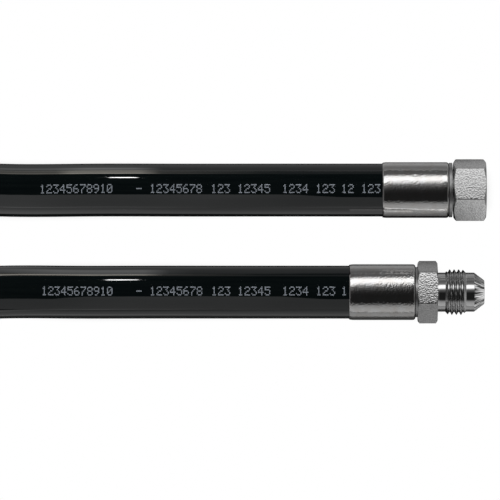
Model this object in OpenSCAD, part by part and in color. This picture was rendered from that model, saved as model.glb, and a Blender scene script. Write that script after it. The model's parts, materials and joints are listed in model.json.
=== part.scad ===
// Hydraulic hose assembly: a thermoplastic hose with a crimped 37 degree swivel female
// at one end and a crimped 37 degree male at the other, lying flat with the hose coiled.
// Millimetres. X runs along the end fittings towards their noses, Y from the male end to
// the female end, and Z up from the surface that the assembly lies on.

/* [Hose] */
// Outside diameter of the hose
hose_od = 16.6; // [15.6:0.1:17]
// Bore of the hose
hose_bore = 9.5; // [8.8:0.1:10]
// Wall of the smooth core tube
core_wall = 1.1; // [0.8:0.05:1.3]
// Wall of the inner fibre braid
inner_braid_wall = 0.7; // [0.5:0.05:0.85]
// Wall of the outer fibre braid
outer_braid_wall = 0.7; // [0.5:0.05:0.85]

/* [Ferrules] */
// How much wider a crimped ferrule is than the free hose
ferrule_step = 0.85; // [0.7:0.05:2.4]
// Length of a ferrule
ferrule_length = 20.8; // [18:0.1:26]
// Wall of a ferrule over the crimped hose
ferrule_wall = 1.3; // [1:0.05:1.6]
// Thickness of the inner lip that locks a ferrule to its stem
lip_length = 2.2; // [1.6:0.1:3]
// Diameter of the stem's lock groove under that lip
lip_d = 10.4; // [10:0.1:11]
// Length of the rounding at a ferrule's mouth
mouth_round = 1.5; // [0.8:0.1:2]
// Radius of the rounding at a ferrule's fitting end
ferrule_end_round = 0.8; // [0.3:0.1:1]
// Number of gripping teeth inside a ferrule
tooth_count = 4; // [2:1:4]
// Height of a gripping tooth
tooth_height = 0.3; // [0.15:0.05:0.4]

/* [Hose nipple] */
// Outside diameter of the nipple inside the hose
nipple_od = 9.7; // [9.2:0.1:9.9]
// Flow bore through both stems
flow_bore = 6.4; // [5:0.1:7]
// Number of barbs on a nipple
barb_count = 4; // [2:1:4]
// Height of a barb
barb_height = 0.25; // [0.1:0.05:0.35]
// Diameter of the shoulder that the hose butts against
shoulder_d = 13.2; // [12:0.1:14]
// Length of that shoulder
shoulder_length = 1.2; // [0.8:0.1:2]

/* [Thread and seats] */
// Outside diameter of the thread
thread_od = 14.29; // [13.5:0.01:15]
// Pitch of the thread
thread_pitch = 1.411; // [1:0.001:1.5]
// Depth of the male thread
thread_depth = 0.87; // [0.6:0.01:0.9]
// Radial clearance between a male and a female thread's crests and roots
thread_clearance = 0.05; // [0.02:0.01:0.15]
// Half angle of the sealing cones
seat_angle = 37; // [30:1:45]
// Width across the flats of both hexagons
hex_af = 17.46; // [17:0.01:20]

/* [Swivel female] */
// How much narrower the collar behind the swivel nut is than the ferrule
collar_step = 0.35; // [0.3:0.05:1.4]
// Length of that collar
collar_length = 1.1; // [0.8:0.1:3]
// Gap between the collar and the swivel nut
nut_gap = 0.35; // [0.3:0.05:0.6]
// Length of the swivel nut
nut_length = 10.2; // [10:0.1:16]
// Angle by which a corner of the nut lies below the level of its axis
nut_turn = 12.6; // [0:0.1:30]
// Width of the nut's end chamfers at its corners
nut_chamfer = 0.85; // [0.4:0.05:1]
// Diameter of the stem's seat head inside the nut
seat_head_d = 12.3; // [12:0.1:12.3]
// How far the seat head reaches into the nut
seat_head_reach = 3.2; // [3:0.1:3.6]
// Diameter of the wire that retains the nut
wire_d = 1.2; // [0.8:0.1:1.2]
// Place of the wire, from the nut's back face
wire_place = 1.25; // [1.2:0.05:1.8]
// End play of the nut each way
nut_play = 0.25; // [0.1:0.05:0.25]
// Running clearance round the seat head
running_clearance = 0.08; // [0.03:0.01:0.1]

/* [Male end] */
// How much narrower the neck behind the hexagon is than the ferrule
neck_step = 1.75; // [1:0.05:3.4]
// Length of the neck
neck_length = 0.7; // [0.4:0.1:3]
// Length of the hexagon
male_hex_length = 6.2; // [4:0.1:10]
// Angle by which a corner of the hexagon lies below the level of its axis
male_turn = 9.1; // [0:0.1:30]
// Width of the hexagon's end chamfers at its corners
male_chamfer = 0.6; // [0.3:0.05:1]
// Diameter of the relief behind the thread and of the plain lead in front of it
lead_d = 12.25; // [11.8:0.05:12.4]
// Length of the relief behind the thread
relief_length = 2.4; // [1.5:0.1:4]
// Number of thread turns
thread_turns = 4.6; // [3:0.1:8]
// Length of the plain lead
lead_length = 2.6; // [1.5:0.1:4]
// Length of the sealing cone
nose_length = 3.2; // [2:0.1:3.3]

/* [Layout] */
// Distance between the axes of the two end fittings
end_spacing = 32; // [31:0.5:33]
// How far the male nose stops short of the swivel nut's open end
nose_setback = 0.5; // [0:0.1:2]

/* [Coil] */
// Diameter of the coil at the middle of its turns
coil_mean_d = 166; // [160:1:180]
// Gap between neighbouring turns, beside and above each other
turn_gap = 0.5; // [0.5:0.1:1.4]
// Width of a tie
tie_width = 10; // [8:1:14]
// Thickness of a tie
tie_thickness = 0.8; // [0.6:0.1:1.5]
// Room between a tie and the hose
tie_gap = 0.7; // [0.7:0.05:1.2]

/* [Hidden] */
$fn = 72;

eps = 0.01; // overlap that keeps a cut clear of the face it starts from
sweep_step = 1; // degrees used to find a heading on a curve

// Radii of the hose's layers where it is free
hose_r = hose_od / 2;
bore_r = hose_bore / 2;
core_r = bore_r + core_wall;
inner_braid_r = core_r + inner_braid_wall;
outer_braid_r = inner_braid_r + outer_braid_wall;

// The crimp squeezes all the layers in the same proportion between nipple and ferrule
nipple_r = nipple_od / 2;
ferrule_r = (hose_od + ferrule_step) / 2;
ferrule_bore_r = ferrule_r - ferrule_wall;
squeeze = (ferrule_bore_r - nipple_r) / (hose_r - bore_r);
function crimped(r) = nipple_r + (r - bore_r) * squeeze;

// Places along a fitting, from the ferrule's mouth
mouth_taper = 2.5; // length over which the hose narrows into the crimp
mouth_rim = 0.15; // flat left on the ferrule's face outside the hose
nipple_tip = 1.2; // how far the nipple's tip lies inside the mouth
nipple_tip_chamfer = 0.4;
hose_end = ferrule_length - lip_length - shoulder_length;
lip_start = ferrule_length - lip_length;
barb_start = mouth_taper + 1;
barb_pitch = (hose_end - barb_start) / barb_count;
barb_face = 0.1; // length of a barb's steep face
tooth_pitch = (hose_end - barb_start) / tooth_count;
tooth_half = 0.55; // half of a tooth's width at its root

// Places along the swivel female
collar_r = ferrule_r - collar_step / 2;
nut_back = ferrule_length + collar_length + nut_gap;
female_length = nut_back + nut_length;
seat_head_r = seat_head_d / 2;
seat_rim = 0.3; // width of the seat head's flat front rim
seat_r = seat_head_r - seat_rim;
seat_depth = (seat_r - flow_bore / 2) / tan(seat_angle);
head_front = nut_back + seat_head_reach;
wire_groove_r = seat_head_r - wire_d / 2; // floor of the stem's half of the wire groove
wire_ring_r = wire_groove_r + wire_d / 2 + 0.03;
groove_side = 0.05; // clearance beside the wire
wire_outer_r = wire_ring_r + wire_d / 2 + 0.03;
wire_gap_angle = 20; // opening between the two ends of the wire
wire_hole_d = wire_d + 0.3; // hole through which the wire is fed in

// Places inside the swivel nut, from its back face
hex_r = hex_af / 2 / cos(30);
nut_bore_r = seat_head_r + running_clearance;
nut_thread_minor_r = thread_od / 2 - thread_depth + thread_clearance + 0.13;
nut_thread_major_r = thread_od / 2 + thread_clearance;
nut_relief_start = seat_head_reach - 0.2;
nut_relief_length = 1;
nut_thread_start = nut_relief_start + nut_relief_length;
nut_mouth_chamfer = 0.6;
nut_thread_length = nut_length - nut_mouth_chamfer - nut_thread_start;
nut_thread_turns = round(nut_thread_length / thread_pitch);

// Places along the male end, from the ferrule's mouth
neck_r = ferrule_r - neck_step / 2;
male_hex_start = ferrule_length + neck_length;
relief_start = male_hex_start + male_hex_length;
thread_start = relief_start + relief_length;
thread_length = thread_turns * thread_pitch;
lead_start = thread_start + thread_length;
nose_start = lead_start + lead_length;
male_length = nose_start + nose_length;
lead_r = lead_d / 2;
nose_tip_r = lead_r - nose_length * tan(seat_angle);
nose_tip_round = 0.15;
thread_crest = 0.22; // flat on the crest of a thread
thread_flank = 30; // angle of a thread's flank

// The two ends in the assembly's frame: centred over the fittings, standing on Z = 0
nose_x = max(female_length, male_length + nose_setback) / 2;
female_x = nose_x - female_length;
male_x = nose_x - nose_setback - male_length;
function reach(turn) = max([for (k = [0:5]) hex_r * cos(60 * k - turn)]);
function drop(turn) = max([for (k = [0:5]) hex_r * sin(60 * k + turn)]);
female_y = (end_spacing - reach(nut_turn) + reach(male_turn)) / 2;
male_y = female_y - end_spacing;
floor_clearance = 0.1; // lets the nut be turned where it lies
female_z = hex_r + floor_clearance;
male_z = max(drop(male_turn), ferrule_r);

// The coil, two layers that spiral in below and out again above
coil_centre = [-287.5, female_y - end_spacing / 2];
coil_loops = 3; // times the hose passes the coil's far side
coil_pitch = hose_od + turn_gap;
join_angle = 40; // where the runs join the coil, from the X axis
coil_turns = coil_loops - join_angle / 180;
coil_outer_r = coil_mean_d / 2 + coil_pitch * coil_turns / 4;
coil_low_z = hose_r + tie_thickness + tie_gap;
coil_top_z = coil_low_z + coil_pitch;
rings_per_loop = 24;
coil_sides = 6;
run_sides = 12;
climb_turns = 0.5; // the half turn in which the hose climbs a layer
tie_angles = [60, 180, 300];

function coil_r(t) = coil_outer_r - coil_pitch * min(t, coil_turns - t);
function climb(t) = min(1, max(0, (t - coil_turns / 2) / climb_turns + 0.5));
function coil_z(t) = coil_low_z + coil_pitch * (1 - cos(180 * climb(t))) / 2;
function coil_point(t) = [
    coil_centre[0] + coil_r(t) * cos(join_angle + 360 * t),
    coil_centre[1] + coil_r(t) * sin(join_angle + 360 * t),
    coil_z(t)
];
function unit(v) = v / norm(v);
coil_in = unit(coil_point(sweep_step / 360) - coil_point(0));
coil_out = unit(coil_point(coil_turns) - coil_point(coil_turns - sweep_step / 360));
coil_start = coil_point(0) - hose_od * coil_in;
coil_end = coil_point(coil_turns) + hose_od * coil_out;
coil_steps = round(coil_turns * rings_per_loop);
coil_route = [
    coil_start,
    for (i = [0:coil_steps]) coil_point(coil_turns * i / coil_steps),
    coil_end
];

// The free runs, from each ferrule's mouth to the coil
female_mouth = [female_x, female_y, female_z];
male_mouth = [male_x, male_y, male_z];
// Points of the runs: place along X, how far aside of the mouth, and height above lying flat
female_course = [
    [-28, 0, 1.8], [-50, 0, 1.3], [-76, 0, 0.5], [-104, 0, 0.2], [-131, 0, 0.1],
    [-151, 2, 0.2], [-170.5, 8.5, 0.6], [-188, 18.5, 1.1]
];
male_course = [
    [-38, 0, 1], [-60, 0, 0.5], [-86, 0, 0.1], [-110, 0, 0.2], [-131, 0, 2.1],
    [-151, -2, 6.9], [-170.5, -8.5, 12.4], [-188, -18.5, 16.8]
];
female_route = [
    female_mouth,
    for (p = female_course) [p[0], female_y + p[1], hose_r + p[2]],
    coil_start
];
male_route = [
    male_mouth,
    for (p = male_course) [p[0], male_y + p[1], hose_r + p[2]],
    coil_end
];

// A ring of points square to the route at point i; its sides stay level
function heading(route, i) =
    unit(route[min(i + 1, len(route) - 1)] - route[max(i - 1, 0)]);
function ring(centre, along, r, sides) =
    let (side = unit(cross(along, [0, 0, 1])), up = cross(side, along))
    [for (k = [0:sides - 1])
        let (a = 360 * k / sides + 90)
        centre + r * cos(a) * side + r * sin(a) * up];
function end_heading(route, i, first, last) =
    i == 0 ? first : i == len(route) - 1 ? last : heading(route, i);
function skin(route, first, last, r, sides) = [
    for (i = [0:len(route) - 1])
        each ring(route[i], end_heading(route, i, first, last), r, sides)
];

// A pipe along a route, with a bore, as one closed skin of triangles
module pipe(route, first, last, sides) {
    rings = len(route);
    outer = skin(route, first, last, hose_r, sides);
    inner = skin(route, first, last, bore_r, sides);
    function at(i, k) = i * sides + k % sides;
    function in(i, k) = len(outer) + at(i, k);
    polyhedron(
        points = concat(outer, inner),
        faces = [
            for (i = [0:rings - 2]) for (k = [0:sides - 1]) each [
                [at(i, k), at(i, k + 1), at(i + 1, k + 1)],
                [at(i, k), at(i + 1, k + 1), at(i + 1, k)],
                [in(i, k), in(i + 1, k + 1), in(i, k + 1)],
                [in(i, k), in(i + 1, k), in(i + 1, k + 1)]
            ],
            for (k = [0:sides - 1]) each [
                [at(0, k), in(0, k), in(0, k + 1)],
                [at(0, k), in(0, k + 1), at(0, k + 1)],
                [at(rings - 1, k), in(rings - 1, k + 1), in(rings - 1, k)],
                [at(rings - 1, k), at(rings - 1, k + 1), in(rings - 1, k + 1)]
            ]
        ]
    );
}

// Turns a profile of [radius, place] points round an axis along X
module turned(start, profile) {
    translate(start) rotate([90, 0, 90]) rotate_extrude() polygon(profile);
}

// A quarter of an ellipse between two points, bulging away from the axis
function rounding(from, to, steps = 6) = [
    for (i = [0:steps])
        [from[0] + (to[0] - from[0]) * sin(90 * i / steps),
         from[1] + (to[1] - from[1]) * (1 - cos(90 * i / steps))]
];

// Hexagonal bar with its corners turned off at both ends
module hex_bar(length, chamfer, turn) {
    face_r = hex_r - chamfer / tan(thread_flank);
    intersection() {
        rotate([0, 0, -turn]) cylinder(r = hex_r, h = length, $fn = 6);
        rotate_extrude() polygon([
            [0, 0], [face_r, 0], [hex_r + eps, chamfer],
            [hex_r + eps, length - chamfer], [face_r, length], [0, length]
        ]);
    }
}

// One layer of the hose inside a ferrule, narrowing from the free hose into the crimp
module crimped_layer(start, inner, outer) {
    turned(start, [
        [inner, 0], [outer, 0], [crimped(outer), mouth_taper], [crimped(outer), hose_end],
        [crimped(inner), hose_end], [crimped(inner), mouth_taper]
    ]);
}

// Smooth crimped shell with gripping teeth and a lip that locks on the stem
module ferrule(start) {
    turned(start, concat(
        [[hose_r, 0]],
        rounding([hose_r + mouth_rim, 0], [ferrule_r, mouth_round]),
        [[ferrule_r, ferrule_length - ferrule_end_round]],
        [for (a = [15:15:90])
            [ferrule_r - ferrule_end_round * (1 - cos(a)),
             ferrule_length - ferrule_end_round * (1 - sin(a))]],
        [[lip_d / 2, ferrule_length], [lip_d / 2, lip_start], [ferrule_bore_r, lip_start]],
        [for (i = [tooth_count - 1:-1:0])
            let (place = barb_start + tooth_pitch * (i + 0.5))
            each [[ferrule_bore_r, place + tooth_half],
                  [ferrule_bore_r - tooth_height, place],
                  [ferrule_bore_r, place - tooth_half]]],
        [[ferrule_bore_r, mouth_taper]]
    ));
}

// Outline of a stem's barbed nipple, hose shoulder and lock groove, up to the ferrule's end
nipple_outline = concat(
    [[nipple_r - nipple_tip_chamfer, nipple_tip], [nipple_r, nipple_tip + nipple_tip_chamfer]],
    [for (i = [0:barb_count - 1])
        let (place = barb_start + barb_pitch * i)
        each [[nipple_r, place], [nipple_r + barb_height, place + barb_pitch - barb_face],
              [nipple_r, place + barb_pitch]]],
    [[shoulder_d / 2, hose_end], [shoulder_d / 2, lip_start],
     [lip_d / 2, lip_start], [lip_d / 2, ferrule_length]]
);

// Stem of the swivel female: nipple, collar, wire groove and a head with the conical seat
module female_stem() {
    collar_end = ferrule_length + collar_length;
    groove_start = nut_back + wire_place - wire_d / 2 - nut_play - groove_side;
    groove_end = nut_back + wire_place + wire_d / 2 + nut_play + groove_side;
    color("lightgray") turned(female_mouth, concat(
        nipple_outline,
        [[collar_r, ferrule_length], [collar_r, collar_end], [seat_head_r, collar_end],
         [seat_head_r, groove_start], [wire_groove_r, groove_start],
         [wire_groove_r, groove_end], [seat_head_r, groove_end],
         [seat_head_r, head_front], [seat_r, head_front],
         [flow_bore / 2, head_front - seat_depth], [flow_bore / 2, nipple_tip]]
    ));
}

// Nut that turns on the stem's head and is held there by the wire
module swivel_nut() {
    color("silver") translate(female_mouth + [nut_back, 0, 0]) rotate([90, 0, 90]) difference() {
        hex_bar(nut_length, nut_chamfer, nut_turn);
        translate([0, 0, -eps]) cylinder(r = nut_bore_r, h = nut_relief_start + 2 * eps);
        translate([0, 0, nut_relief_start]) cylinder(r = nut_thread_major_r, h = nut_relief_length);
        translate([0, 0, nut_thread_start - eps])
            cylinder(r = nut_thread_minor_r, h = nut_length);
        translate([0, 0, nut_length - nut_mouth_chamfer])
            cylinder(r1 = nut_thread_minor_r, r2 = nut_thread_minor_r + nut_mouth_chamfer + eps,
                h = nut_mouth_chamfer + eps);
        for (i = [0:nut_thread_turns - 1])
            translate([0, 0, nut_thread_start + thread_pitch * (i + 0.5)])
                thread_groove(nut_thread_minor_r, nut_thread_major_r);
        translate([0, 0, wire_place - wire_d / 2 - groove_side])
            cylinder(r = wire_outer_r, h = wire_d + 2 * groove_side);
        translate([0, 0, wire_place]) rotate([90, 0, 0]) cylinder(d = wire_hole_d, h = hex_r);
    }
}

// Ring-shaped V groove between a crest radius and a root radius, centred on its own place
module thread_groove(crest_r, root_r) {
    direction = sign(root_r - crest_r);
    half = (thread_pitch - thread_crest) / 2;
    root_half = half - abs(root_r - crest_r) * tan(thread_flank);
    rotate_extrude() polygon([
        [crest_r - direction * eps, -half - eps * tan(thread_flank)], [root_r, -root_half],
        [root_r, root_half], [crest_r - direction * eps, half + eps * tan(thread_flank)]
    ]);
}

// Spring wire that lies half in the stem and half in the nut
module nut_retaining_wire() {
    color("dimgray") translate(female_mouth + [nut_back + wire_place, 0, 0])
        rotate([90, 0, 90]) rotate([0, 0, wire_gap_angle / 2 - 90])
            rotate_extrude(angle = 360 - wire_gap_angle)
                translate([wire_ring_r, 0]) circle(d = wire_d);
}

// Stem of the male end: nipple, neck, hexagon, relief, thread, lead and sealing cone
module male_stem() {
    crest_r = thread_od / 2;
    root_r = crest_r - thread_depth;
    color("lightgray") difference() {
        union() {
            turned(male_mouth, concat(
                nipple_outline,
                [[neck_r, ferrule_length], [neck_r, male_hex_start + eps],
                 [flow_bore / 2, male_hex_start + eps], [flow_bore / 2, nipple_tip]]
            ));
            translate(male_mouth + [male_hex_start, 0, 0]) rotate([90, 0, 90])
                hex_bar(male_hex_length, male_chamfer, male_turn);
            turned(male_mouth, [
                [0, relief_start - eps], [lead_r, relief_start - eps], [lead_r, thread_start],
                [root_r, thread_start], [crest_r, thread_start + thread_depth],
                [crest_r, lead_start - thread_depth], [root_r, lead_start],
                [lead_r, lead_start], [lead_r, nose_start],
                [nose_tip_r + nose_tip_round * tan(seat_angle), male_length - nose_tip_round],
                [nose_tip_r - nose_tip_round, male_length], [0, male_length]
            ]);
        }
        translate(male_mouth + [nipple_tip - eps, 0, 0]) rotate([0, 90, 0])
            cylinder(d = flow_bore, h = male_length);
        for (i = [0:ceil(thread_turns) - 1])
            translate(male_mouth + [thread_start + thread_pitch * (i + 0.5), 0, 0])
                rotate([90, 0, 90]) thread_groove(crest_r, root_r);
    }
}

// Strap round all the turns of the coil at one angle
module coil_tie(angle) {
    loops = [for (k = [0:coil_loops]) (angle - join_angle) / 360 + k];
    passes = [for (t = loops) if (t >= 0 && t <= coil_turns) [coil_r(t), coil_z(t)]];
    color("dimgray") translate([coil_centre[0], coil_centre[1], 0]) rotate([90, 0, angle])
        linear_extrude(tie_width, center = true) difference() {
            hull() for (p = passes) translate(p) circle(r = hose_r + tie_gap + tie_thickness, $fn = 40);
            hull() for (p = passes) translate(p) circle(r = hose_r + tie_gap, $fn = 40);
        }
}

// Least gap of the coil to itself, over the ring points at least half a loop apart
coil_headings = [for (i = [0:len(coil_route) - 1]) end_heading(coil_route, i, coil_in, coil_out)];
coil_gap = min([
    for (i = [0:len(coil_route) - 1])
        for (j = [i + rings_per_loop / 2:1:len(coil_route) - 1])
            let (span = norm(coil_route[i] - coil_route[j]))
            if (span < 2 * hose_od)
                let (a = ring(coil_route[i], coil_headings[i], hose_r, coil_sides),
                     b = ring(coil_route[j], coil_headings[j], hose_r, coil_sides))
                min([for (p = a) for (q = b) norm(p - q)])
]);
echo("least gap of the coil to itself, mm", coil_gap);

module female_ferrule() { color("gainsboro") ferrule(female_mouth); }
module male_ferrule() { color("gainsboro") ferrule(male_mouth); }
module female_end_core_tube() { color("ivory") crimped_layer(female_mouth, bore_r, core_r); }
module female_end_inner_braid() {
    color("khaki") crimped_layer(female_mouth, core_r, inner_braid_r);
}
module female_end_outer_braid() {
    color("goldenrod") crimped_layer(female_mouth, inner_braid_r, outer_braid_r);
}
module female_end_cover() { color("#1a1a1c") crimped_layer(female_mouth, outer_braid_r, hose_r); }
module male_end_core_tube() { color("ivory") crimped_layer(male_mouth, bore_r, core_r); }
module male_end_inner_braid() { color("khaki") crimped_layer(male_mouth, core_r, inner_braid_r); }
module male_end_outer_braid() {
    color("goldenrod") crimped_layer(male_mouth, inner_braid_r, outer_braid_r);
}
module male_end_cover() { color("#1a1a1c") crimped_layer(male_mouth, outer_braid_r, hose_r); }
module hose_run_female() {
    color("#1a1a1c") pipe(female_route, [-1, 0, 0], coil_in, run_sides);
}
module hose_run_male() {
    color("#1a1a1c") pipe(male_route, [-1, 0, 0], -coil_out, run_sides);
}
module hose_coil() { color("#1a1a1c") pipe(coil_route, coil_in, coil_out, coil_sides); }

female_ferrule();
female_stem();
swivel_nut();
nut_retaining_wire();
female_end_core_tube();
female_end_inner_braid();
female_end_outer_braid();
female_end_cover();
male_ferrule();
male_stem();
male_end_core_tube();
male_end_inner_braid();
male_end_outer_braid();
male_end_cover();
hose_run_female();
hose_coil();
hose_run_male();
coil_tie(tie_angles[0]);  // coil_tie_1
coil_tie(tie_angles[1]);  // coil_tie_2
coil_tie(tie_angles[2]);  // coil_tie_3
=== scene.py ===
"""Looks of a hydraulic hose assembly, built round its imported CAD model.

Lengths are written in millimetres and turned into metres when a mesh is made. X runs along the
end fittings towards their noses, Y from the male end to the swivel female end, and Z up.
"""

import json
import math

import bmesh
import bpy
import numpy as np
from mathutils import Matrix, Vector


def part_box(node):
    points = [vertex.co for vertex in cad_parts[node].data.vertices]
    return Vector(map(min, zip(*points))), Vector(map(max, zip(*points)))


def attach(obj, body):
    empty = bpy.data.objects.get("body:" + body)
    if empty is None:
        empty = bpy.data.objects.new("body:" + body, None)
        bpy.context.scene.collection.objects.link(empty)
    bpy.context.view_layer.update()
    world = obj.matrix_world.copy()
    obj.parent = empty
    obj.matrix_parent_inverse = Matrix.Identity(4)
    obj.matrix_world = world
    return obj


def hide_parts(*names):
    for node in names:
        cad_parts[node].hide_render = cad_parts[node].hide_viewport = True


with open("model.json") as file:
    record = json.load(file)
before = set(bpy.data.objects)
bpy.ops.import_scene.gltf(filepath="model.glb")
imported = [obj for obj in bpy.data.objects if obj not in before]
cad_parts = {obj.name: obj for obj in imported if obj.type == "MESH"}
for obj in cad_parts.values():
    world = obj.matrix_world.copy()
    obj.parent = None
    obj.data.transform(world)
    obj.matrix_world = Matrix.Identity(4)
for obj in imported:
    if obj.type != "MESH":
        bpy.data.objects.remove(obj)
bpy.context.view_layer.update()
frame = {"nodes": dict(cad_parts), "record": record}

MM = 0.001
ROOT = "hose_and_fittings"
NUT_BODY = "swivel_nut"
MOUNTS = {m["name"]: m["pos_m"] for m in frame["record"]["mounts"]}


def mouth_of(ferrule, mount):
    """Centre of a ferrule's mouth in mm, on the axis of the fitting's own mount."""
    return np.array([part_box(ferrule)[0].x, MOUNTS[mount][1], MOUNTS[mount][2]]) / MM


FEMALE = mouth_of("female_ferrule", "swivel_thread")
MALE = mouth_of("male_ferrule", "male_thread")


def placed(name, data):
    """A new object, linked to the scene."""
    made = bpy.data.objects.new(name, data)
    bpy.context.scene.collection.objects.link(made)
    return made


# --- Camera, straight above the two ends ---

FIELD = 156.75  # width of the view at the height of the fittings' axes
VIEW_CENTRE = (-52.5, -2.73)
AXIS_HEIGHT = 10.0
LENS = 500.0
SENSOR = 36.0

camera_data = bpy.data.cameras.new("camera")
camera_data.lens = LENS
camera_data.sensor_width = SENSOR
camera_data.clip_start = 0.05
camera_data.clip_end = 50
camera = placed("camera", camera_data)
camera.location = [x * MM for x in (*VIEW_CENTRE, FIELD / SENSOR * LENS + AXIS_HEIGHT)]
bpy.context.scene.camera = camera
bpy.context.scene.view_settings.view_transform = "Standard"

# --- Meshes ---


def mesh_object(name, points, faces, body=ROOT, indices=None, sharp=35.0):
    """A mesh from points in mm, smooth but for edges sharper than sharp degrees."""
    mesh = bpy.data.meshes.new(name)
    mesh.from_pydata((np.asarray(points, float) * MM).tolist(), [], faces)
    if indices is not None:
        mesh.polygons.foreach_set("material_index", np.asarray(indices, np.int32))
    bm = bmesh.new()
    bm.from_mesh(mesh)
    bmesh.ops.recalc_face_normals(bm, faces=bm.faces)
    if bm.calc_volume(signed=True) < 0:
        bmesh.ops.reverse_faces(bm, faces=bm.faces)
    for face in bm.faces:
        face.smooth = True
    for edge in bm.edges:
        edge.smooth = edge.calc_face_angle(0.0) < math.radians(sharp)
    bm.to_mesh(mesh)
    bm.free()
    made = placed(name, mesh)
    if body:
        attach(made, body)
    return made


def grid_faces(rows, columns, close_rows=False):
    """Quads between rows of points, each row a closed ring."""
    faces = []
    for i in range(rows if close_rows else rows - 1):
        j = (i + 1) % rows
        for k in range(columns):
            n = (k + 1) % columns
            faces.append((i * columns + k, i * columns + n, j * columns + n, j * columns + k))
    return faces


def unit(v):
    return v / np.linalg.norm(v)


def lengths_along(path):
    """Length along a path at each of its points."""
    steps = np.linalg.norm(np.diff(path, axis=0), axis=1)
    return np.concatenate([[0], np.cumsum(steps)])


def filleted(profile, steps=5):
    """A closed profile of (place, radius, fillet) points with its corners rounded."""
    out = []
    for i, (place, radius, *fillet) in enumerate(profile):
        here = np.array([place, radius], float)
        if not fillet:
            out.append(tuple(here))
            continue
        size = fillet[0]
        u = unit(np.array(profile[i - 1][:2], float) - here)
        v = unit(np.array(profile[(i + 1) % len(profile)][:2], float) - here)
        half = math.acos(max(-1.0, min(1.0, float(u @ v)))) / 2
        reach = size / math.tan(half)
        centre = here + unit(u + v) * size / math.sin(half)
        a, b = here + u * reach - centre, here + v * reach - centre
        turn = math.acos(max(-1.0, min(1.0, float(a @ b) / size**2)))
        for w in np.arange(steps + 1) / steps:
            arc = math.sin((1 - w) * turn) * a + math.sin(w * turn) * b
            out.append(tuple(centre + arc / math.sin(turn)))
    return out


def turned(name, origin, rings, angles, body=ROOT, indices=None, sharp=35.0):
    """A closed skin round an axis along X. Each ring is (place, radius), either of which may
    vary with the angle, which runs from +Y to +Z."""
    points = []
    for place, radius in rings:
        x = np.broadcast_to(place, angles.shape)
        r = np.broadcast_to(radius, angles.shape)
        points.append(np.stack([x, r * np.cos(angles), r * np.sin(angles)], axis=1))
    points = np.concatenate(points) + origin
    faces = grid_faces(len(rings), len(angles), close_rows=True)
    if indices is not None:
        indices = np.repeat(indices, len(angles))
    return mesh_object(name, points, faces, body, indices, sharp)


def even_angles(count):
    return np.arange(count) * 2 * math.pi / count


# --- The hose ---

HOSE_OD = 16.6
HOSE_R = HOSE_OD / 2
BORE_R = 4.75
HOSE_SIDES = 40
PITCH = 17.1  # from turn to turn of the coil, beside and above each other
TURNS = 3 - 40 / 180
COIL_CENTRE = np.array([-287.5, FEMALE[1] - 16])
COIL_OUTER_R = 83 + PITCH * TURNS / 4
COIL_LOW_Z = HOSE_R + 0.8 + 0.7  # with room for the ties below
JOIN_ANGLE = 40.0  # of the coil's first and last points
REVERSAL = 0.06  # turns over which the spiral changes from winding in to winding out
DEGREE = 1 / 360  # of a turn
RUN_STEP = 3.0  # between the points of the runs to the coil

# Points of the runs to the coil: place along X, Y off the mouth, height above the lowest
FEMALE_COURSE = [
    (-28, 0, 1.8), (-50, 0, 1.3), (-76, 0, 0.5), (-104, 0, 0.2), (-131, 0, 0.1),
    (-151, 2, 0.2), (-170.5, 8.5, 0.6), (-188, 18.5, 1.1),
]
MALE_COURSE = [
    (-38, 0, 1), (-60, 0, 0.5), (-86, 0, 0.1), (-110, 0, 0.2), (-131, 0, 2.1),
    (-151, -2, 6.9), (-170.5, -8.5, 12.4), (-188, -18.5, 16.8),
]


def coil_point(t):
    """Point of the coil after t turns: it winds in below, climbs, and winds out above."""
    inward = min(t, TURNS - t)
    near = max(0.0, REVERSAL - abs(2 * t - TURNS)) / REVERSAL
    inward -= near**2 * REVERSAL / 4
    r = COIL_OUTER_R - PITCH * inward
    a = math.radians(JOIN_ANGLE + 360 * t)
    climb = min(1.0, max(0.0, (t - TURNS / 2) / 0.5 + 0.5))
    z = COIL_LOW_Z + PITCH * (1 - math.cos(math.pi * climb)) / 2
    return np.array([COIL_CENTRE[0] + r * math.cos(a), COIL_CENTRE[1] + r * math.sin(a), z])


def spline(points, first, last, step):
    """Points about a step apart on a smooth curve with given headings at its two ends."""
    p = np.array(points, float)
    h = np.linalg.norm(np.diff(p, axis=0), axis=1)
    n = len(p)
    a, b = np.zeros((n, n)), np.zeros((n, 3))
    a[0, 0] = a[-1, -1] = 1
    b[0], b[-1] = first, last
    for i in range(1, n - 1):
        a[i, i - 1], a[i, i + 1] = 1 / h[i - 1], 1 / h[i]
        a[i, i] = 2 * (1 / h[i - 1] + 1 / h[i])
        b[i] = 3 * ((p[i] - p[i - 1]) / h[i - 1] ** 2 + (p[i + 1] - p[i]) / h[i] ** 2)
    m = np.linalg.solve(a, b)
    out = []
    for i in range(n - 1):
        for u in np.linspace(0, 1, max(2, round(h[i] / step)), endpoint=False):
            out.append(
                (2 * u**3 - 3 * u**2 + 1) * p[i]
                + (u**3 - 2 * u**2 + u) * h[i] * m[i]
                + (3 * u**2 - 2 * u**3) * p[i + 1]
                + (u**3 - u**2) * h[i] * m[i + 1]
            )
    return out + [p[-1]]


def run(mouth, course, end, heading):
    middle = [(x, mouth[1] + y, HOSE_R + z) for x, y, z in course]
    return spline([mouth, *middle, end], np.array([-1.0, 0, 0]), heading, RUN_STEP)


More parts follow.
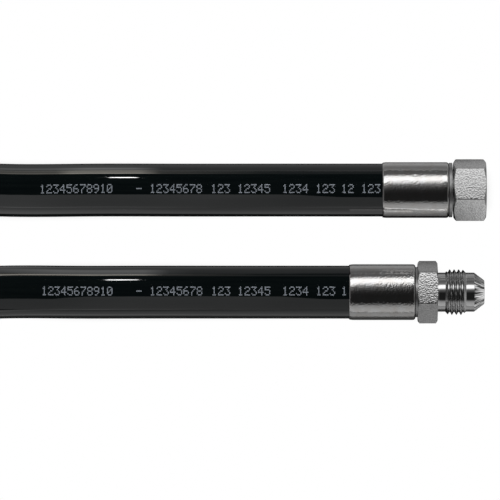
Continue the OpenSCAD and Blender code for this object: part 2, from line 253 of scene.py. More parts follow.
def hose_path():
    """The hose's centreline from the female ferrule's mouth to the male one's."""
    first, last = coil_point(0), coil_point(TURNS)
    head_in = unit(coil_point(DEGREE) - first)
    head_out = unit(last - coil_point(TURNS - DEGREE))
    start, end = first - HOSE_OD * head_in, last + HOSE_OD * head_out
    stub = np.linspace(0, 1, 6)[1:-1]
    return np.array(
        run(FEMALE, FEMALE_COURSE, start, head_in)
        + [start + (first - start) * u for u in stub]
        + [coil_point(t) for t in np.linspace(0, TURNS, round(TURNS * 180))]
        + [last + (end - last) * u for u in stub]
        + run(MALE, MALE_COURSE, end, -head_out)[::-1]
    )


def frames_of(path):
    """Level side and upward direction at each point of a path."""
    along = np.gradient(path, axis=0)
    along /= np.linalg.norm(along, axis=1)[:, None]
    side = np.cross(along, [0, 0, 1])
    side /= np.linalg.norm(side, axis=1)[:, None]
    return side, np.cross(side, along)


def tube(name, path, outer_r, inner_r, sides):
    """A hollow tube along a path. Its attribute "straight" says where each point would be if
    the tube were pulled straight, for the cover's material."""
    side, up = frames_of(path)
    angles = even_angles(sides)
    ring = (
        np.cos(angles)[None, :, None] * up[:, None]
        + np.sin(angles)[None, :, None] * side[:, None]
    )
    outer, inner = path[:, None] + outer_r * ring, path[:, None] + inner_r * ring
    points = np.concatenate([outer, inner[::-1]]).reshape(-1, 3)
    made = mesh_object(name, points, grid_faces(2 * len(path), sides, close_rows=True))
    at = np.repeat(lengths_along(path), sides)
    around = np.tile(angles, len(path))
    skin = np.stack([at, outer_r * np.cos(around), outer_r * np.sin(around)], axis=1) * MM
    straight = made.data.attributes.new("straight", "FLOAT_VECTOR", "POINT")
    both = np.concatenate([skin, skin[::-1]])
    straight.data.foreach_set("vector", both.astype(np.float32).ravel())
    return made


PATH = hose_path()
hose = tube("hose", PATH, HOSE_R, BORE_R, HOSE_SIDES)
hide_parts("hose_run_female", "hose_coil", "hose_run_male")

# --- Plain length marks, dotted on the hose in digits ---

DIGITS = {
    "0": "01110 10001 10011 10101 11001 10001 01110",
    "1": "00100 01100 00100 00100 00100 00100 01110",
    "2": "01110 10001 00001 00110 01000 10000 11111",
    "3": "11111 00010 00100 00010 00001 10001 01110",
    "4": "00010 00110 01010 10010 11111 00010 00010",
    "5": "11111 10000 11110 00001 00001 10001 01110",
    "6": "00110 01000 10000 11110 10001 10001 01110",
    "7": "11111 00001 00010 00100 01000 01000 01000",
    "8": "01110 10001 10001 01110 10001 10001 01110",
    "9": "01110 10001 10001 01111 00001 00010 01100",
    "-": "00000 00000 00000 11111 00000 00000 00000",
}
MARKS = [  # where each group starts along X, and what it counts up to
    (-118.2, "12345678910"), (-88.0, "-"), (-83.7, "12345678"), (-64.4, "123"),
    (-56.1, "12345"), (-42.2, "1234"), (-31.8, "123"), (-23.9, "12"), (-17.7, "123"),
]
MARK_CELL = 2.1  # from one digit to the next
MARK_REPEAT = 131.0  # from one row of groups to the next
MARK_REPEATS = 9  # rows from each mouth
MARK_START = 0.6  # clear length at a ferrule's mouth
MARK_STOP = 20.0  # clear length on each side of the hose's middle
MARK_MIDDLE = 0.4  # how far the row's middle lies aside of the hose's top
DOT_COLUMN = MARK_CELL / 6
DOT_ROW = 0.405
DOT_LENGTH, DOT_WIDTH = 0.31, 0.33
INK_PROUD = 0.012

LENGTH_AT = lengths_along(PATH)
HOSE_LENGTH = LENGTH_AT[-1]
SIDE_AT, UP_AT = frames_of(PATH)


def on_hose(s, aside, proud):
    """Point on the hose's skin at length s, so far aside of its top."""
    at, side, up = (
        np.array([np.interp(s, LENGTH_AT, values[:, i]) for i in range(3)])
        for values in (PATH, SIDE_AT, UP_AT)
    )
    a = aside / HOSE_R
    return at + (HOSE_R + proud) * (math.cos(a) * unit(up) + math.sin(a) * unit(side))


def mark_dots():
    """Lowest corner of each dot as (place along X from a mouth, height of the row)."""
    for start, digits in MARKS:
        for number, mark in enumerate(digits):
            for row, bits in enumerate(DIGITS[mark].split()):
                for column, bit in enumerate(bits):
                    if bit == "1":
                        yield (
                            start + number * MARK_CELL + column * DOT_COLUMN,
                            MARK_MIDDLE + (3 - row) * DOT_ROW,
                        )


def length_marks():
    """Points and faces of the dots on both halves of the hose."""
    points, faces = [], []
    for mouth, from_male in ((FEMALE, False), (MALE, True)):
        for repeat in range(MARK_REPEATS):
            for x, aside in mark_dots():
                s = mouth[0] - (x - repeat * MARK_REPEAT)
                if not MARK_START < s < HOSE_LENGTH / 2 - MARK_STOP:
                    continue
                faces.append(tuple(range(len(points), len(points) + 4)))
                for right, up in ((0, -1), (1, -1), (1, 1), (0, 1)):
                    along = s - right * DOT_LENGTH
                    across = aside + up * DOT_WIDTH / 2
                    if from_male:
                        along, across = HOSE_LENGTH - along, -across
                    points.append(on_hose(along, across, INK_PROUD))
    return points, faces


marks = mesh_object("length_marks", *length_marks())

# --- Ties round the coil ---

STRAP_INNER = HOSE_R + 0.1
STRAP_THICK = 1.4
STRAP_WIDTH = 10.0
STRAP_STEP = 1.2  # between the sections along a strap
TIE_ANGLES = (60, 180, 300)
TAIL = 34.0  # length of the strap's loose end, which lies over its first turn
TAIL_THICK = 1.1
TAIL_WIDTH = STRAP_WIDTH - 0.3
TAIL_GAP = 0.02
TAIL_TIP = 0.55  # share of its thickness that the tail has at its two ends


def bundle_outline(angle, reach, count=220):
    """Closed outline in the (radius, height) plane at a distance round all the hose's passes
    at one angle of the coil, and its normals."""
    passes = []
    for t in [(angle - JOIN_ANGLE) / 360 + k for k in range(4)]:
        if 0 <= t <= TURNS:
            p = coil_point(t)
            passes.append((math.hypot(*(p[:2] - COIL_CENTRE)), p[2]))
    passes = np.array(passes)
    around = even_angles(count)
    normals = np.stack([np.cos(around), np.sin(around)], axis=1)
    which = (normals @ passes.T).argmax(axis=1)
    return passes[which] + reach * normals, normals


def resample(line, normals, spacing):
    """A closed outline with evenly spaced points, and their normals."""
    rows = np.hstack([line, normals])
    rows = np.vstack([rows, rows[:1]])
    at = lengths_along(rows[:, :2])
    keep = np.concatenate([[True], np.diff(at) > 1e-9])
    at, rows = at[keep], rows[keep]
    count = round(at[-1] / spacing)
    s = np.arange(count) * at[-1] / count
    out = np.stack([np.interp(s, at, rows[:, i]) for i in range(4)], axis=1)
    return out[:, :2], out[:, 2:] / np.linalg.norm(out[:, 2:], axis=1)[:, None]


def strap_section(width, thick):
    """Rounded section of a strap as (across, outward) points."""
    edge = min(0.45, thick * 0.42)
    side = width / 2 - edge
    out = []
    for cx, cy, start in (
        (side, thick - edge, 0), (-side, thick - edge, 90), (-side, edge, 180), (side, edge, 270)
    ):
        for a in (0, 30, 60, 90):
            t = math.radians(start + a)
            out.append((cx + edge * math.cos(t), cy + edge * math.sin(t)))
    return out


def strap(number, angle):
    """A strap round the bundle, whose tail lies flat over its outer side."""
    line, normals = resample(*bundle_outline(angle, STRAP_INNER), STRAP_STEP)
    a = math.radians(angle)
    radial = np.array([math.cos(a), math.sin(a), 0])
    tangent = np.array([-math.sin(a), math.cos(a), 0])

    def place(j, across, out):
        r, z = line[j] + normals[j] * out
        return np.array([*COIL_CENTRE, z]) + radial * r + tangent * across

    section = strap_section(STRAP_WIDTH, STRAP_THICK)
    points = [place(j, x, y) for j in range(len(line)) for x, y in section]
    faces = grid_faces(len(line), len(section), close_rows=True)
    # The tail starts on top of the bundle and runs down its outer side
    top = int(np.argmax(line[:, 1] - 0.02 * abs(line[:, 0] - line[:, 0].mean())))
    count = round(TAIL / STRAP_STEP)
    first = len(points)
    section = strap_section(TAIL_WIDTH, TAIL_THICK)
    middle = TAIL_THICK / 2
    for i in range(count + 1):
        share = 1.0 if 0 < i < count else TAIL_TIP
        for x, y in section:
            out = STRAP_THICK + TAIL_GAP + middle + (y - middle) * share
            points.append(place((top - i) % len(line), x, out))
    faces += [tuple(first + v for v in face) for face in grid_faces(count + 1, len(section))]
    for start in (first, first + count * len(section)):
        faces.append(tuple(range(start, start + len(section))))
    made = mesh_object(f"coil_strap_{number}", points, faces)
    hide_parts(f"coil_tie_{number}")
    return made


straps = [strap(i + 1, angle) for i, angle in enumerate(TIE_ANGLES)]

# --- Ferrules ---

FERRULE_R = 8.725
FERRULE_BORE_R = 7.425
FERRULE_LENGTH = 20.8
MOUTH_ROUND, MOUTH_DROP = 1.5, 0.275  # the mouth's rounding, along and across the axis
END_ROUND = 0.8
LIP_START = 18.6
LIP_R = 5.2
MOUTH_TAPER = 2.5
CRIMP_START = 3.5
HOSE_END = 17.4
GRIPS = 4  # teeth inside a ferrule, and barbs on a nipple
GRIP_PITCH = (HOSE_END - CRIMP_START) / GRIPS
TOOTH_HEIGHT, TOOTH_HALF = 0.3, 0.55
BARB_HEIGHT, BARB_STEP = 0.25, 0.1
SHELL_COLUMNS = 240


def ferrule_profile():
    barrel_end = FERRULE_LENGTH - END_ROUND
    quarter = np.linspace(0, math.pi / 2, 9)
    mouth = [
        (MOUTH_ROUND * (1 - math.cos(u)), FERRULE_R - MOUTH_DROP * (1 - math.sin(u)))
        for u in quarter
    ]
    barrel = [(x, FERRULE_R) for x in np.linspace(MOUTH_ROUND, barrel_end, 14)[1:-1]]
    end = [
        (barrel_end + END_ROUND * math.sin(u), FERRULE_R - END_ROUND * (1 - math.cos(u)))
        for u in quarter
    ]
    teeth = []
    for i in range(GRIPS - 1, -1, -1):
        place = CRIMP_START + GRIP_PITCH * (i + 0.5)
        teeth += [
            (place + TOOTH_HALF, FERRULE_BORE_R),
            (place, FERRULE_BORE_R - TOOTH_HEIGHT),
            (place - TOOTH_HALF, FERRULE_BORE_R),
        ]
    return [
        (0, HOSE_R), *mouth, *barrel, *end,
        (FERRULE_LENGTH, LIP_R), (LIP_START, LIP_R), (LIP_START, FERRULE_BORE_R),
        *teeth, (MOUTH_TAPER, FERRULE_BORE_R),
    ]


def ferrule_shell(name, node, origin):
    made = turned(name, origin, ferrule_profile(), even_angles(SHELL_COLUMNS))
    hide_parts(node)
    return made


female_shell = ferrule_shell("female_ferrule_shell", "female_ferrule", FEMALE)
male_shell = ferrule_shell("male_ferrule_shell", "male_ferrule", MALE)

# --- Stems ---

NIPPLE_R = 4.85
NIPPLE_TIP = 1.2
NIPPLE_BEVEL = 0.4
FLOW_R = 3.2
SHOULDER_R = 6.6
COLLAR_R = 8.55
COLLAR_END = 21.9
NUT_BACK = 22.25
SEAT_HEAD_R = 6.15
HEAD_FRONT = NUT_BACK + 3.2
SEAT_SLOPE = math.tan(math.radians(37))
SEAT_R = SEAT_HEAD_R - 0.3
SEAT_DEPTH = (SEAT_R - FLOW_R) / SEAT_SLOPE
WIRE_PLACE = 1.25  # of the retaining wire's middle, from the nut's back
WIRE_R = 0.6
END_PLAY = 0.25
GROOVE_HALF = WIRE_R + END_PLAY + 0.05


def nipple_profile():
    """Barbed nipple, hose shoulder and lock groove, up to the ferrule's end."""
    out = [(NIPPLE_TIP, NIPPLE_R - NIPPLE_BEVEL), (NIPPLE_TIP + NIPPLE_BEVEL, NIPPLE_R)]
    for i in range(GRIPS):
        place = CRIMP_START + GRIP_PITCH * i
        out += [
            (place, NIPPLE_R),
            (place + GRIP_PITCH - BARB_STEP, NIPPLE_R + BARB_HEIGHT),
            (place + GRIP_PITCH, NIPPLE_R),
        ]
    return out + [
        (HOSE_END, SHOULDER_R), (LIP_START, SHOULDER_R),
        (LIP_START, LIP_R), (FERRULE_LENGTH, LIP_R),
    ]


def female_stem_profile():
    groove = NUT_BACK + WIRE_PLACE - GROOVE_HALF, NUT_BACK + WIRE_PLACE + GROOVE_HALF
    return filleted([
        *nipple_profile(),
        (FERRULE_LENGTH, COLLAR_R, 0.12),
        (COLLAR_END, COLLAR_R, 0.2),
        (COLLAR_END, SEAT_HEAD_R),
        (groove[0], SEAT_HEAD_R),
        (groove[0], SEAT_HEAD_R - WIRE_R),
        (groove[1], SEAT_HEAD_R - WIRE_R),
        (groove[1], SEAT_HEAD_R),
        (HEAD_FRONT, SEAT_HEAD_R, 0.08),
        (HEAD_FRONT, SEAT_R, 0.05),
        (HEAD_FRONT - SEAT_DEPTH, FLOW_R),
        (NIPPLE_TIP, FLOW_R),
    ])


female_stem = turned(
    "swivel_stem", FEMALE, female_stem_profile(), even_angles(SHELL_COLUMNS)
)
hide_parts("female_stem")

# --- Hexagons ---

HEX_HALF = 8.73  # half of the width across the flats
HEX_CROWN = 0.08  # how much lower a flat lies at its edges than in its middle
HEX_EDGE = HEX_HALF - HEX_CROWN
HEX_CORNER = 0.5  # rounding of the bar's corners
HALF_SIDE = math.radians(30)
HEX_REACH = HEX_HALF / math.cos(HALF_SIDE)
FLAT_HALF = (HEX_EDGE - HEX_CORNER) * math.tan(HALF_SIDE)
FLAT_ANGLE = math.atan2(FLAT_HALF, HEX_EDGE)  # at which half a flat is seen from the axis
CHAMFER_SLOPE = 1 / math.tan(math.radians(30))


def hex_angles(turn, flat_points, corner_points=9):
    """Angles round a hexagon, crowded at its corners."""
    out = []
    for k in range(6):
        middle = math.radians(60 * k + 30 - turn)
        out += [
            middle + math.atan2(w * FLAT_HALF, HEX_EDGE)
            for w in np.linspace(-1, 1, flat_points)
        ]
        out += [
            middle + HALF_SIDE + (HALF_SIDE - FLAT_ANGLE) * w
            for w in np.linspace(-1, 1, corner_points + 2)[1:-1]
        ]
    return np.array(out)


def hex_radius(angles, turn):
    """Distance from the axis to a hexagon with rounded corners."""
    b = np.radians(np.abs(np.mod(np.degrees(angles) + turn, 60) - 30))
    crown = HEX_CROWN * (1 - (np.tan(b) / math.tan(FLAT_ANGLE)) ** 2)
    flat = (HEX_EDGE + crown) / np.cos(b)
    centre = (HEX_EDGE - HEX_CORNER) / math.cos(HALF_SIDE)
    d = HALF_SIDE - b
    inside = np.maximum(HEX_CORNER**2 - (centre * np.sin(d)) ** 2, 0)
    return np.where(b > FLAT_ANGLE, centre * np.cos(d) + np.sqrt(inside), flat)


def soft_min(a, b, blend):
    gap = np.maximum(blend - np.abs(a - b), 0) / blend
    return np.minimum(a, b) - gap**2 * blend / 4


def hex_rings(start, length, chamfer, angles, turn):
    """Outer rings of a hexagon whose corners are turned off at both ends."""
    flats = hex_radius(angles, turn)
    near = np.concatenate([np.linspace(0, chamfer + 0.1, 22), [chamfer + 0.3]])
    middle = np.linspace(chamfer + 0.3, length - chamfer - 0.3, 8)[1:-1]
    rings = []
    for x in np.concatenate([near, middle, length - near[::-1]]):
        cone = HEX_REACH + (min(x, length - x) - chamfer) * CHAMFER_SLOPE
        rings.append((start + x, soft_min(flats, cone, 0.12)))
    return rings


# --- The swivel nut ---

NUT_TURN = 12.6
NUT_LENGTH = 10.2
NUT_CHAMFER = 0.85
NUT_BORE_R = SEAT_HEAD_R + 0.08
NUT_MINOR_R = 6.455
NUT_MAJOR_R = 7.195
NUT_BEVEL = 0.6  # at the thread's mouth
NUT_RELIEF = (3.0, 4.0)  # between the bore and the thread
NUT_GROOVE = (WIRE_PLACE + 0.65, WIRE_PLACE - 0.65)  # the nut's half of the wire's groove
NUT_GROOVE_R = SEAT_HEAD_R + 0.66
THREAD_PITCH = 1.411
WIRE_HOLE_R = 0.75
WIRE_HOLE_DEPTH = 6.0


def vee(phase, depth, crest=0.22):
    """How deep a thread's groove is at a phase from 0 to 1 of its pitch, crest at 0."""
    from_crest = np.abs(np.mod(phase + 0.5, 1) - 0.5) * THREAD_PITCH
    fall = np.maximum(from_crest - crest / 2, 0) / math.tan(math.radians(30))
    return np.minimum(fall, depth)


def nut_rings(angles):
    """Rings of the nut's skin, and the material slot of the faces after each."""
    outer = hex_rings(0, NUT_LENGTH, NUT_CHAMFER, angles, NUT_TURN)
    lead = THREAD_PITCH * angles / (2 * math.pi)
    inner = [(NUT_LENGTH, NUT_MINOR_R + NUT_BEVEL)]
    for x in np.arange(NUT_LENGTH - 0.05, NUT_RELIEF[1], -THREAD_PITCH / 12):
        depth = vee((x - lead) / THREAD_PITCH, NUT_MAJOR_R - NUT_MINOR_R)
        bevel = max(0.0, NUT_MINOR_R + NUT_BEVEL - (NUT_LENGTH - x))
        fade = min(1.0, (x - NUT_RELIEF[1]) / 0.5)
        inner.append((x, np.maximum(NUT_MINOR_R + depth * fade, bevel)))
    inner += [
        (NUT_RELIEF[1], NUT_MINOR_R),
        (NUT_RELIEF[1], NUT_MAJOR_R),
        (NUT_RELIEF[0], NUT_MAJOR_R),
        (NUT_RELIEF[0], NUT_BORE_R),
        (NUT_GROOVE[0], NUT_BORE_R),
        (NUT_GROOVE[0], NUT_GROOVE_R),
        (NUT_GROOVE[1], NUT_GROOVE_R),
        (NUT_GROOVE[1], NUT_BORE_R),
        (0, NUT_BORE_R),
    ]
    return outer + inner, [0] * (len(outer) - 1) + [1] * (len(inner) + 1)


nut_columns = hex_angles(NUT_TURN, flat_points=14)
nut_skin, nut_indices = nut_rings(nut_columns)
nut = turned(
    "swivel_nut_body", FEMALE + [NUT_BACK, 0, 0], nut_skin, nut_columns,
    body=None, indices=nut_indices, sharp=40.0,
)


def drill(target, centre, radius, depth):
    """Drills a hole down from a centre in mm."""
    bm = bmesh.new()
    bmesh.ops.create_cone(
        bm, cap_ends=True, segments=32, radius1=radius * MM, radius2=radius * MM,
        depth=depth * MM, matrix=Matrix.Translation(Vector(centre) * MM),
    )
    mesh = bpy.data.meshes.new("drill")
    bm.to_mesh(mesh)
    bm.free()
    tool = placed("drill", mesh)
    cut = target.modifiers.new("drill", "BOOLEAN")
    cut.object = tool
    cut.solver = "EXACT"
    bpy.context.view_layer.update()
    cut_mesh = bpy.data.meshes.new_from_object(
        target.evaluated_get(bpy.context.evaluated_depsgraph_get())
    )
    target.modifiers.clear()
    target.data = cut_mesh
    bpy.data.objects.remove(tool)


drill(
    nut,
    FEMALE + [NUT_BACK + WIRE_PLACE, 0, -(NUT_BORE_R - 0.8) - WIRE_HOLE_DEPTH / 2],
    WIRE_HOLE_R,
    WIRE_HOLE_DEPTH,
)
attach(nut, NUT_BODY)
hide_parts("swivel_nut")

# --- The male end ---

MALE_TURN = 9.1
NECK_R = 7.85
HEX_START = 21.5
HEX_LENGTH = 6.2
HEX_CHAMFER = 0.6
RELIEF_START = HEX_START + HEX_LENGTH
THREAD_START = RELIEF_START + 2.4
THREAD_R = 7.145
THREAD_DEPTH = 0.87
THREAD_LENGTH = 4.6 * THREAD_PITCH
LEAD_R = 6.125
LEAD_START = THREAD_START + THREAD_LENGTH
NOSE_START = LEAD_START + 2.6
NOSE_LENGTH = 3.2
NOSE_END = NOSE_START + NOSE_LENGTH
TIP_R = LEAD_R - NOSE_LENGTH * SEAT_SLOPE
CREST_AT = 10.1  # where a crest passes the +Y side, along X


def male_thread(angles):
    """Rings of the thread, which fades into the lead at both ends."""
    lead_angle = THREAD_PITCH * angles / (2 * math.pi)
    rings = []
    for x in np.arange(THREAD_START - 0.1, LEAD_START + 0.15, THREAD_PITCH / 14):
        phase = (MALE[0] + x - CREST_AT - lead_angle) / THREAD_PITCH
        ridge = THREAD_R - vee(phase, THREAD_DEPTH, crest=0.14)
        taper = min(x - THREAD_START, LEAD_START - x) + LEAD_R
        rings.append((x, np.maximum(soft_min(ridge, taper, 0.1), LEAD_R)))
    return rings


def male_rings(angles):
    """Rings of the male end's skin, and the material slot of the faces after each."""
    hexagon = hex_rings(HEX_START, HEX_LENGTH, HEX_CHAMFER, angles, MALE_TURN)
    neck = [(FERRULE_LENGTH, NECK_R), (HEX_START, NECK_R)]
    relief = [
        (RELIEF_START, LEAD_R + 0.12),
        (RELIEF_START + 0.04, LEAD_R + 0.04),
        (RELIEF_START + 0.12, LEAD_R),
        (RELIEF_START + 1.2, LEAD_R),
    ]
    lead = [(LEAD_START + 0.9, LEAD_R), (NOSE_START - 0.1, LEAD_R)]
    nose = [
        (NOSE_START - 0.02, LEAD_R - 0.006),
        (NOSE_START + 0.05, LEAD_R - 0.05),
        *((NOSE_START + u, LEAD_R - u * SEAT_SLOPE)
          for u in np.linspace(0.15, NOSE_LENGTH - 0.18, 12)),
        (NOSE_END - 0.08, TIP_R + 0.02),
        (NOSE_END, TIP_R - 0.12),
        (NOSE_END, FLOW_R + 0.08),
        (NOSE_END - 0.08, FLOW_R),
    ]
    bore = [(x, FLOW_R) for x in np.linspace(NOSE_END - 4, NIPPLE_TIP, 6)]
    rings, indices = [], []
    for group, index in (
        (nipple_profile(), 1), (neck, 3), (hexagon[:-1], 0), (hexagon[-1:], 1), (relief, 1),
        (male_thread(angles), 1), (lead, 1), (nose, 2), (bore, 1),
    ):
        rings += group
        indices += [index] * len(group)
    return rings, indices


male_columns = hex_angles(MALE_TURN, flat_points=20)
male_skin, male_indices = male_rings(male_columns)
male_body = turned(
    "male_end_body", MALE, male_skin, male_columns, indices=male_indices, sharp=32.0
)
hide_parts("male_stem")

# --- Materials ---


def fill(tree, made, inputs):
    """Links each input of a node to a socket, or sets it to a value."""
    for key, value in inputs.items():
        if isinstance(value, bpy.types.NodeSocket):
            tree.links.new(value, made.inputs[key])
        else:
            made.inputs[key].default_value = value


def node(tree, kind, inputs=None, **settings):
    made = tree.nodes.new(kind)
    for key, value in settings.items():
        setattr(made, key, value)
    fill(tree, made, inputs or {})
    return made


def new_material(name):
    mat = bpy.data.materials.new(name)
    mat.use_nodes = True
    tree = mat.node_tree
    shader = next(n for n in tree.nodes if n.type == "BSDF_PRINCIPLED")
    return mat, tree, shader, node(tree, "ShaderNodeTexCoord").outputs["Object"]


def noise(tree, coords, size_mm, detail=2.0, roughness=0.5, stretch=None):
    """Noise whose features are about so many millimetres across."""
    if stretch:
        mapping = node(tree, "ShaderNodeMapping", {"Vector": coords, "Scale": stretch})
        coords = mapping.outputs[0]
    scale = 1 / (size_mm * MM)
    settings = {"Vector": coords, "Scale": scale, "Detail": detail, "Roughness": roughness}
    return node(tree, "ShaderNodeTexNoise", settings).outputs["Fac"]


def ramp(tree, value, low, high, to_low=0.0, to_high=1.0):
    """The value brought from between low and high to between to_low and to_high."""
    inputs = dict(enumerate((value, low, high, to_low, to_high)))
    return node(tree, "ShaderNodeMapRange", inputs).outputs[0]


def patchy(tree, coords, size_mm, low, high, detail=3, stretch=None):
    """A value that drifts between low and high over patches of about that size."""
    return ramp(tree, noise(tree, coords, size_mm, detail, stretch=stretch), 0.3, 0.7, low, high)


def maths(tree, operation, a, b):
    return node(tree, "ShaderNodeMath", {0: a, 1: b}, operation=operation).outputs[0]


def mixed(tree, factor, a, b):
    """The colours a and b mixed; a Mix node has its colour sockets after those of numbers."""
    inputs = {0: factor, 6: a, 7: b}
    return node(tree, "ShaderNodeMix", inputs, data_type="RGBA").outputs[2]


def bump(tree, height, depth_mm, **inputs):
    settings = {"Height": height, "Distance": depth_mm * MM, "Strength": 1.0, **inputs}
    return node(tree, "ShaderNodeBump", settings).outputs[0]


def grey(v, warm=0.0):
    return (v * (1 + warm), v, v * (1 - warm), 1)


def plated_ferrule():
    """Bright zinc plate: nearly a mirror, with a fine grain that is coarser in patches."""
    mat, tree, shader, coords = new_material("zinc_plate_smooth")
    patches = ramp(tree, noise(tree, coords, 4.5, 3), 0.4, 0.6, 0.35, 1.0)
    stain = ramp(tree, noise(tree, coords, 2.6, 4, 0.6), 0.35, 0.65)
    grain = maths(tree, "SUBTRACT", noise(tree, coords, 0.45, 0), 0.5)
    fill(tree, shader, {
        "Metallic": 1.0,
        "Base Color": mixed(tree, stain, grey(0.32, 0.03), grey(0.36)),
        "Roughness": patchy(tree, coords, 0.9, 0.06, 0.12),
        "Normal": bump(tree, maths(tree, "MULTIPLY", grain, patches), 0.045),
    })
    return mat


def machined_plate(name, dark, pale, smooth, rough):
    """Zinc plate over turned steel, from dark to pale and from smooth to rough."""
    mat, tree, shader, coords = new_material(name)
    lines = bump(tree, noise(tree, coords, 0.3, 1, stretch=(1, 0.05, 0.05)), 0.002)
    fill(tree, shader, {
        "Metallic": 1.0,
        "Base Color": mixed(tree, patchy(tree, coords, 2, 0, 1), grey(dark), grey(pale)),
        "Roughness": patchy(tree, coords, 0.9, smooth, rough),
        "Normal": bump(tree, noise(tree, coords, 0.8, 2), 0.004, Normal=lines),
    })
    return mat


def streaked_nose():
    """Zinc plate over the sealing cone, whose tool marks run down its slope."""
    mat, tree, shader, coords = new_material("zinc_plate_streaked")
    place = node(tree, "ShaderNodeSeparateXYZ", {0: coords}).outputs
    y = maths(tree, "SUBTRACT", place["Y"], float(MALE[1] * MM))
    z = maths(tree, "SUBTRACT", place["Z"], float(MALE[2] * MM))
    turn = maths(tree, "MULTIPLY", maths(tree, "ARCTAN2", y, z), LEAD_R * MM)
    along = maths(tree, "MULTIPLY", place["X"], 0.16)
    unrolled = node(tree, "ShaderNodeCombineXYZ", {"X": along, "Y": turn}).outputs[0]
    streaks = noise(tree, unrolled, 0.6, 1, 0.4)
    fill(tree, shader, {
        "Metallic": 1.0,
        "Base Color": mixed(tree, ramp(tree, streaks, 0.42, 0.64), grey(0.05), grey(0.86)),
        "Roughness": patchy(tree, unrolled, 0.8, 0.06, 0.18, detail=2),
        "Normal": bump(tree, streaks, 0.12),
    })
    return mat


def grainy_flats(name, dark, pale, depth):
    """Zinc plate over cold-drawn hexagon bar, with a coarse bright grain."""
    mat, tree, shader, coords = new_material(name)
    grain = noise(tree, coords, 0.42, 0)
    fill(tree, shader, {
        "Metallic": 1.0,
        "Base Color": mixed(tree, ramp(tree, grain, 0.35, 0.62), grey(dark), grey(pale)),
        "Roughness": 0.16,
        "Normal": bump(tree, grain, depth),
    })
    return mat


def speckled(name, size_mm, low, high, roughness, metallic=0.0):
    """A plain material whose colour drifts between two."""
    mat, tree, shader, coords = new_material(name)
    fill(tree, shader, {
        "Metallic": metallic,
        "Base Color": mixed(tree, noise(tree, coords, size_mm, 3), low, high),
        "Roughness": roughness,
    })
    return mat


def hose_cover(name, straight=True):
    """Glossy black thermoplastic with the faint streaks of its extrusion along it."""
    mat, tree, shader, coords = new_material(name)
    if straight:
        pulled = node(tree, "ShaderNodeAttribute", attribute_name="straight")
        coords = pulled.outputs["Vector"]
    streaks = noise(tree, coords, 0.9, 3, stretch=(0.04, 1, 1))
    shades = (0.001, 0.0022, 0.0025, 1), (0.002, 0.0034, 0.0036, 1)
    waves = bump(tree, noise(tree, coords, 4, 1, stretch=(0.15, 1, 1)), 0.012)
    fill(tree, shader, {
        "Base Color": mixed(tree, ramp(tree, streaks, 0.35, 0.65), *shades),
        "Roughness": patchy(tree, coords, 5, 0.03, 0.06, stretch=(0.2, 1, 1)),
        "Normal": bump(tree, streaks, 0.006, Normal=waves),
    })
    return mat


def marking_ink():
    mat, tree, shader, coords = new_material("marking_ink_pale")
    worn = ramp(tree, noise(tree, coords, 0.6, 3), 0.25, 0.75)
    shades = (0.14, 0.155, 0.175, 1), (0.25, 0.275, 0.31, 1)
    fill(tree, shader, {"Base Color": mixed(tree, worn, *shades), "Roughness": 0.45})
    return mat


def woven(name, low, high, roughness, depth, yarns, rotation=None, distortion=0.0):
    """Two layers of yarns, each (direction, scale), that cross each other."""
    mat, tree, shader, coords = new_material(name)
    if rotation:
        mapping = node(tree, "ShaderNodeMapping", {"Vector": coords, "Rotation": rotation})
        coords = mapping.outputs[0]
    layers = [
        node(
            tree, "ShaderNodeTexWave",
            {"Vector": coords, "Scale": scale, "Distortion": distortion},
            wave_type="BANDS", bands_direction=direction,
        ).outputs["Fac"]
        for direction, scale in yarns
    ]
    weave = maths(tree, "MULTIPLY", *layers)
    fill(tree, shader, {
        "Base Color": mixed(tree, weave, low, high),
        "Roughness": roughness,
        "Normal": bump(tree, weave, depth),
    })
    return mat


def braid(name, low, high):
    yarns = ("DIAGONAL", 180.0), ("X", 180.0)
    return woven(name, low, high, 0.8, 0.1, yarns, rotation=(0.9, 0, 0))


def dress(obj, *mats):
    """Fills the slots one by one, because clearing them would reset the faces' indices."""
    slots = obj.data.materials
    for i, mat in enumerate(mats):
        if i < len(slots):
            slots[i] = mat
        else:
            slots.append(mat)


machined = machined_plate("zinc_plate_turned", 0.35, 0.4, 0.04, 0.08)
dull = machined_plate("zinc_plate_dull", 0.22, 0.32, 0.35, 0.5)
dress(hose, hose_cover("hose_cover_gloss_black"))
dress(marks, marking_ink())
webbing = woven(
    "tie_webbing_black", (0.012, 0.012, 0.013, 1), (0.05, 0.05, 0.054, 1), 0.62, 0.12,
    (("Z", 220.0), ("DIAGONAL", 260.0)), distortion=0.6,
)
for made in straps:
    dress(made, webbing)
plate = plated_ferrule()
dress(female_shell, plate)
dress(male_shell, plate)
dress(female_stem, dull)
dress(nut, grainy_flats("zinc_plate_grainy", 0.29, 0.38, 0.07), machined)
dark_flats = grainy_flats("zinc_plate_grainy_dark", 0.255, 0.335, 0.062)
dress(male_body, dark_flats, machined, streaked_nose(), dull)

NODES = frame["nodes"]
WIRE = NODES["nut_retaining_wire"]
dress(WIRE, speckled("drawn_spring_wire", 0.8, grey(0.2), grey(0.3, 0.02), 0.32, metallic=1.0))
layers = {
    "core_tube": speckled(
        "core_tube_nylon", 3, (0.74, 0.71, 0.62, 1), (0.82, 0.8, 0.72, 1), 0.4
    ),
    "inner_braid": braid("braid_inner_yarn", (0.5, 0.42, 0.2, 1), (0.78, 0.68, 0.36, 1)),
    "outer_braid": braid("braid_outer_yarn", (0.55, 0.5, 0.36, 1), (0.82, 0.77, 0.62, 1)),
    "cover": hose_cover("hose_cover_at_the_ends", straight=False),
}
for layer, mat in layers.items():
    dress(NODES[f"female_end_{layer}"], mat)
    dress(NODES[f"male_end_{layer}"], mat)

# --- Floor and world ---

FLOOR_REACH = 3000
FLOOR_Z = -0.05
AMBIENT = 0.16  # what the world adds to matt surfaces, where 1 is full light

